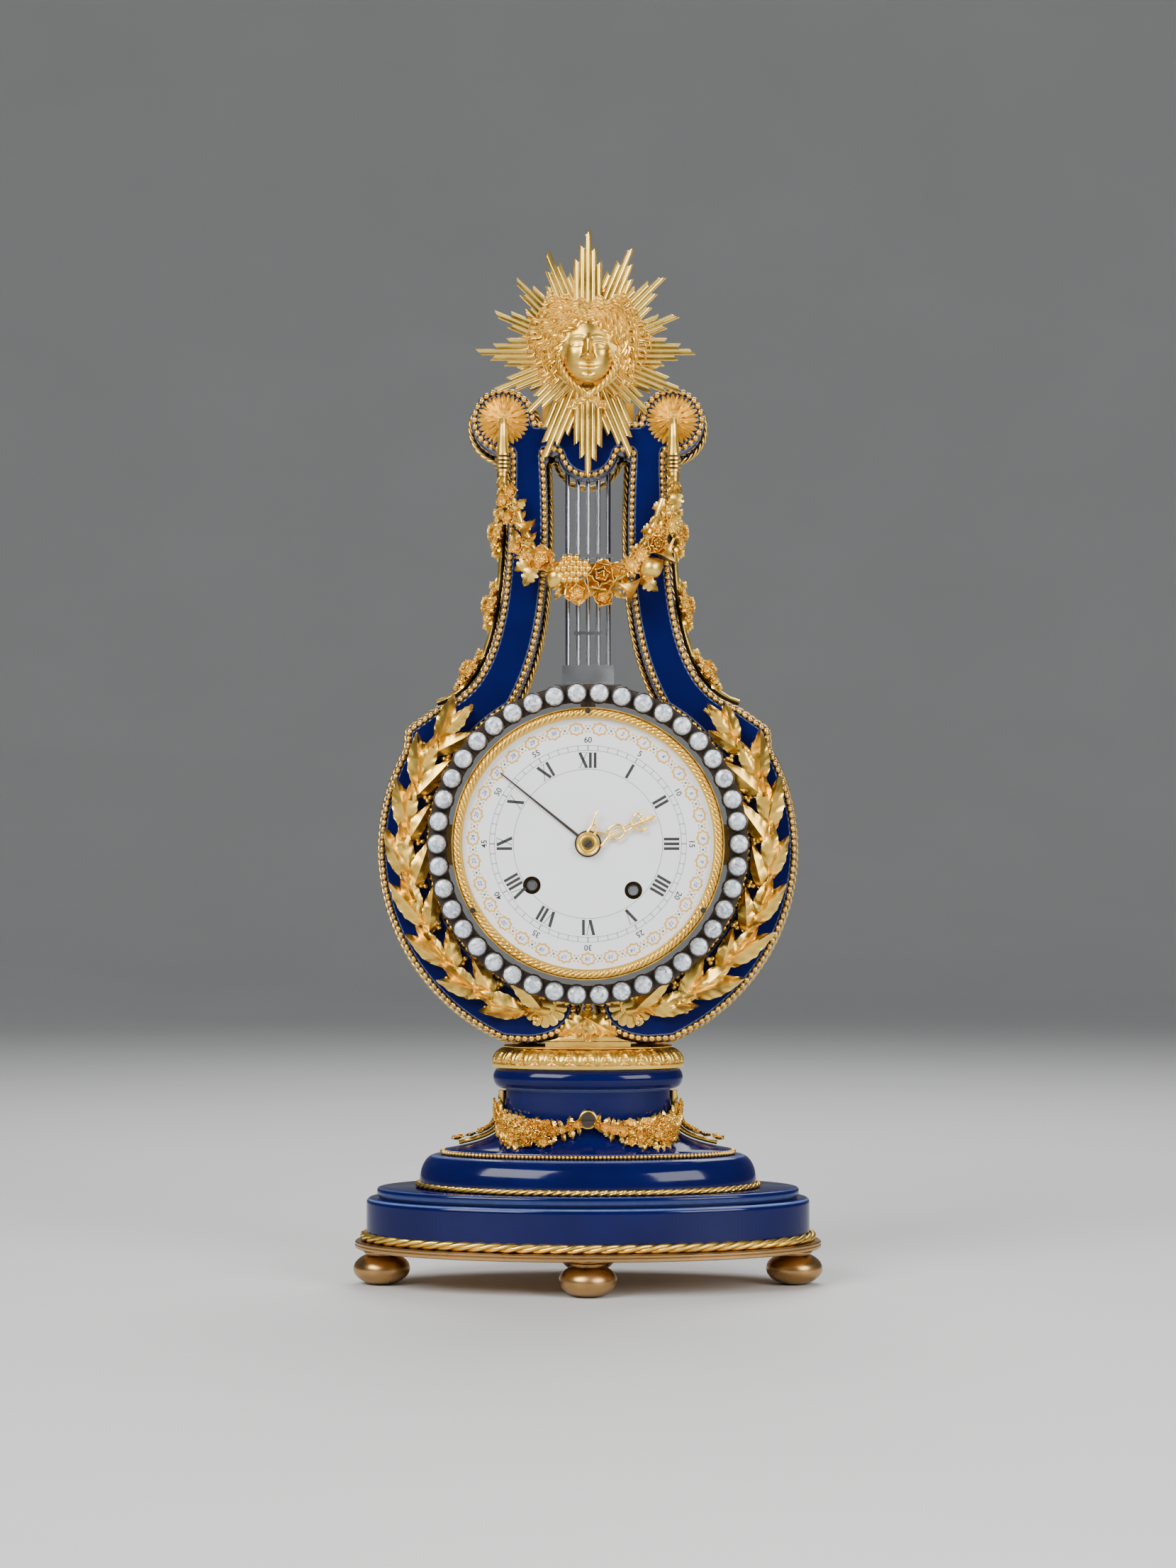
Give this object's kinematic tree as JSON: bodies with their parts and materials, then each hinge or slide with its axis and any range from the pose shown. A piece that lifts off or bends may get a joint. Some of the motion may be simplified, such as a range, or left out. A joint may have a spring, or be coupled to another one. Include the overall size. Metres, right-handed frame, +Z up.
{
  "type": "lyre_clock",
  "caption": "Gilt and cobalt porcelain lyre mantel clock with a sun mask, calendar dial and a swinging ring of brilliants round the drum",
  "frame": {"origin": "on the floor, under the middle of the oval base", "axes": "+X to the right of someone facing the dial, +Y to the back, +Z up; the dial faces -Y"},
  "size_m": [0.273, 0.144, 0.607],
  "materials": {
    "gilt": "gilt bronze, chased and burnished",
    "cobalt": "deep blue glazed porcelain",
    "steel": "worn steel",
    "brass": "polished clock brass",
    "enamel": "white enamel with painted rings",
    "setting": "tarnished silver settings",
    "paste": "faceted colourless glass"
  },
  "bodies": {
    "case": {"bun_feet": "gilt", "base_plate": "gilt", "rope_mouldings": "gilt", "plinth": "cobalt", "cushion_tier": "cobalt", "bead_ring": "gilt", "waist": "cobalt", "waist_swag": "gilt", "swag_screws": "brass", "round_collar": "cobalt", "leaf_collar": "gilt", "tie_rod": "steel", "tie_nut": "steel", "lyre_foot": "gilt", "lyre_body": "cobalt", "front_bead_border": "gilt", "back_rope_border": "gilt", "ear_rosettes": "gilt", "front_swag": "gilt", "side_drops": "gilt", "laurel_branches": "gilt", "finial": "gilt", "suspension_bracket": "gilt", "sun_bracket": "gilt", "sun_rays": "gilt", "sun_mask": "gilt", "drum": "brass", "drum_brackets": "brass", "bracket_screws": "steel", "hinge_pin": "steel", "dial": "enamel", "bezel": "gilt", "bezel_screws": "steel", "movement_plates": "brass", "pillars": "brass", "bell": "gilt"},
    "pendulum": {"pendulum_rods": "steel", "pendulum_frame": "steel", "knife_edge": "steel", "setting_ring": "setting", "brilliants": "paste"},
    "rear_door": {"rear_door": "gilt"},
    "going_barrel": {"going_barrel": "brass"},
    "going_arbor": {"going_arbor": "steel"},
    "strike_barrel": {"strike_barrel": "brass"},
    "strike_arbor": {"strike_arbor": "steel"},
    "intermediate_wheel": {"intermediate_wheel": "brass"},
    "minute": {"centre_wheel": "brass", "minute_hand": "gilt"},
    "third_wheel": {"third_wheel": "brass"},
    "escape_wheel": {"escape_wheel": "brass"},
    "anchor": {"anchor": "steel"},
    "minute_wheel": {"minute_wheel": "brass"},
    "hour": {"hour_wheel": "brass", "hour_hand": "gilt"},
    "day_wheel": {"day_wheel": "brass"},
    "date": {"date_wheel": "brass", "date_hand": "steel"},
    "pin_wheel": {"pin_wheel": "brass"},
    "hammer": {"hammer": "steel"}
  },
  "joints": [
    {"name": "pendulum_swing", "type": "hinge", "parent": "case", "child": "pendulum", "pos_m": [0, 0.005, 0.515], "axis": [0, 1, 0], "range_deg": [-1.3, 1.3]},
    {"name": "anchor_rock", "type": "hinge", "parent": "case", "child": "anchor", "pos_m": [0, 0, 0.3], "axis": [0, 1, 0], "range_deg": [-6.8, 6.8]},
    {"name": "minute_turn", "type": "hinge", "parent": "case", "child": "minute", "pos_m": [0, 0, 0.255], "axis": [0, 1, 0], "continuous": true},
    {"name": "hour_turn", "type": "hinge", "parent": "case", "child": "hour", "pos_m": [0, 0, 0.255], "axis": [0, 1, 0], "continuous": true},
    {"name": "date_turn", "type": "hinge", "parent": "case", "child": "date", "pos_m": [0, 0, 0.255], "axis": [0, 1, 0], "continuous": true},
    {"name": "minute_wheel_turn", "type": "hinge", "parent": "case", "child": "minute_wheel", "pos_m": [-0.01128, 0, 0.2509], "axis": [0, 1, 0], "continuous": true},
    {"name": "day_turn", "type": "hinge", "parent": "case", "child": "day_wheel", "pos_m": [0.01128, 0, 0.2509], "axis": [0, 1, 0], "continuous": true},
    {"name": "intermediate_turn", "type": "hinge", "parent": "case", "child": "intermediate_wheel", "pos_m": [0.00122, 0, 0.23153], "axis": [0, 1, 0], "continuous": true},
    {"name": "going_barrel_turn", "type": "hinge", "parent": "case", "child": "going_barrel", "pos_m": [0.0258, 0, 0.2286], "axis": [0, 1, 0], "continuous": true},
    {"name": "third_turn", "type": "hinge", "parent": "case", "child": "third_wheel", "pos_m": [0.01529, 0, 0.27219], "axis": [0, 1, 0], "continuous": true},
    {"name": "escape_turn", "type": "hinge", "parent": "case", "child": "escape_wheel", "pos_m": [0, 0, 0.284], "axis": [0, 1, 0], "continuous": true},
    {"name": "strike_run", "type": "hinge", "parent": "case", "child": "strike_barrel", "pos_m": [-0.0319, 0, 0.2315], "axis": [0, 1, 0], "continuous": true},
    {"name": "pin_wheel_turn", "type": "hinge", "parent": "case", "child": "pin_wheel", "pos_m": [-0.03406, 0, 0.25616], "axis": [0, 1, 0], "continuous": true},
    {"name": "going_wind", "type": "hinge", "parent": "case", "child": "going_arbor", "pos_m": [0.0258, 0, 0.2286], "axis": [0, 1, 0], "continuous": true},
    {"name": "strike_wind", "type": "hinge", "parent": "case", "child": "strike_arbor", "pos_m": [-0.0319, 0, 0.2315], "axis": [0, 1, 0], "continuous": true},
    {"name": "hammer_lift", "type": "hinge", "parent": "case", "child": "hammer", "pos_m": [-0.042, 0, 0.285], "axis": [0, 1, 0], "range_deg": [0, 10]},
    {"name": "door_open", "type": "hinge", "parent": "case", "child": "rear_door", "pos_m": [-0.0755, 0.0432, 0.255], "axis": [0, 0, 1], "range_deg": [0, 110]}
  ],
  "couplings": [
    {"joint": "anchor_rock", "follows": "pendulum_swing", "ratio": -5.108},
    {"joint": "hour_turn", "follows": "minute_turn", "ratio": 0.083333},
    {"joint": "date_turn", "follows": "minute_turn", "ratio": 0.0013441},
    {"joint": "minute_wheel_turn", "follows": "minute_turn", "ratio": -0.33333},
    {"joint": "day_turn", "follows": "minute_turn", "ratio": -0.041667},
    {"joint": "intermediate_turn", "follows": "minute_turn", "ratio": -0.11905},
    {"joint": "going_barrel_turn", "follows": "minute_turn", "ratio": 0.014881},
    {"joint": "third_turn", "follows": "minute_turn", "ratio": -10.5},
    {"joint": "escape_turn", "follows": "minute_turn", "ratio": 110.25},
    {"joint": "pin_wheel_turn", "follows": "strike_run", "ratio": -8}
  ]
}
